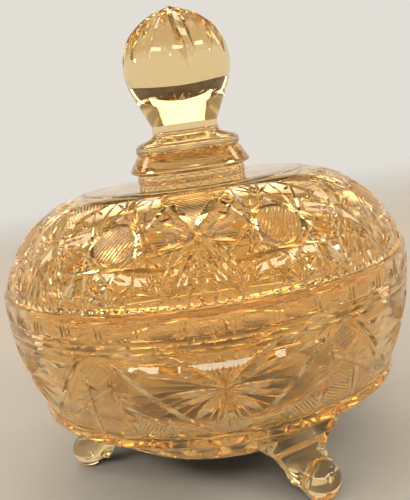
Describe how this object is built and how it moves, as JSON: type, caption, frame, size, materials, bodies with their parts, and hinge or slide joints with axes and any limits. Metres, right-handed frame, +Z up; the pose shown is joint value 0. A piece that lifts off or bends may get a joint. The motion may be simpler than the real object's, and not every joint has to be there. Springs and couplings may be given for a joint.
{
  "type": "lidded candy dish",
  "caption": "Round footed dish of thick cut glass with a domed lift-off lid, a pointed ball knob and applied ball-toed feet, for sweets.",
  "frame": {"origin": "on the dish's axis, at the table that its feet stand on", "axes": "+Z up along the dish's axis, -Y to the front"},
  "size_m": [0.146, 0.146, 0.1661],
  "materials": {
    "cut_crystal": "wheel-cut and acid-polished lead crystal with finely ruled matt panels, warm champagne tint",
    "clear_crystal": "polished solid lead crystal, warm champagne tint"
  },
  "bodies": {
    "dish": {"bowl": "cut_crystal", "foot_front": "clear_crystal", "foot_left": "clear_crystal", "foot_rear": "clear_crystal"},
    "cover": {"lid": "cut_crystal", "knob": "clear_crystal"}
  },
  "joints": [
    {"name": "lid_lift", "type": "slide", "parent": "dish", "child": "cover", "axis": [0, 0, 1], "range_m": [0, 0.12]}
  ]
}
